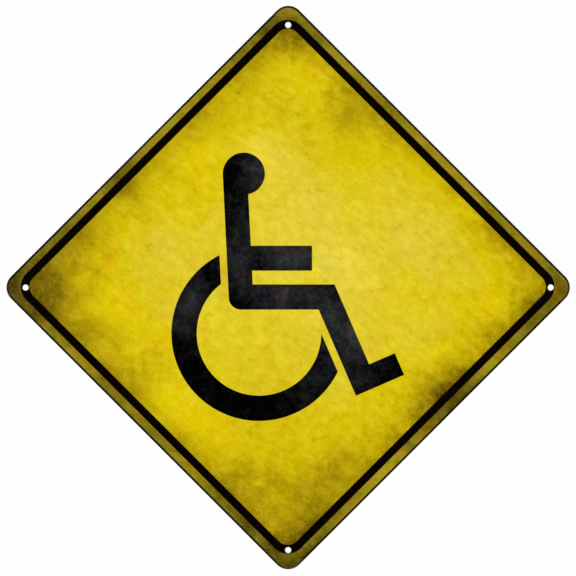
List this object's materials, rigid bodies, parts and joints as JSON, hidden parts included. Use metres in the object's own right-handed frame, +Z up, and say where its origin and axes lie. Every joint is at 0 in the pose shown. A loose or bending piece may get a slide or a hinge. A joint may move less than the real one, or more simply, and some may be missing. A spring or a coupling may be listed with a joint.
{
  "type": "wheelchair crossing sign",
  "caption": "Flat diamond-shaped aluminium sign plate with rounded corners and a punched hole in each, printed yellow with black borders and a wheelchair symbol.",
  "frame": {"origin": "middle of the four fixing holes, on the back face of the plate", "axes": "+Z up to the top corner, +X to the right seen from the front, printed front faces -Y, back faces +Y"},
  "size_m": [0.2984, 0.0007, 0.2984],
  "materials": {
    "aluminium": "mill finish sheet",
    "yellow_print": "satin print, aged look",
    "black_print": "satin print",
    "symbol_print": "satin print, mottled charcoal"
  },
  "bodies": {
    "root": {"aluminium_plate": "aluminium", "yellow_coat": "yellow_print", "edge_line": "black_print", "border_stripe": "black_print", "chair_wheel": "symbol_print", "rider": "symbol_print"}
  },
  "joints": []
}
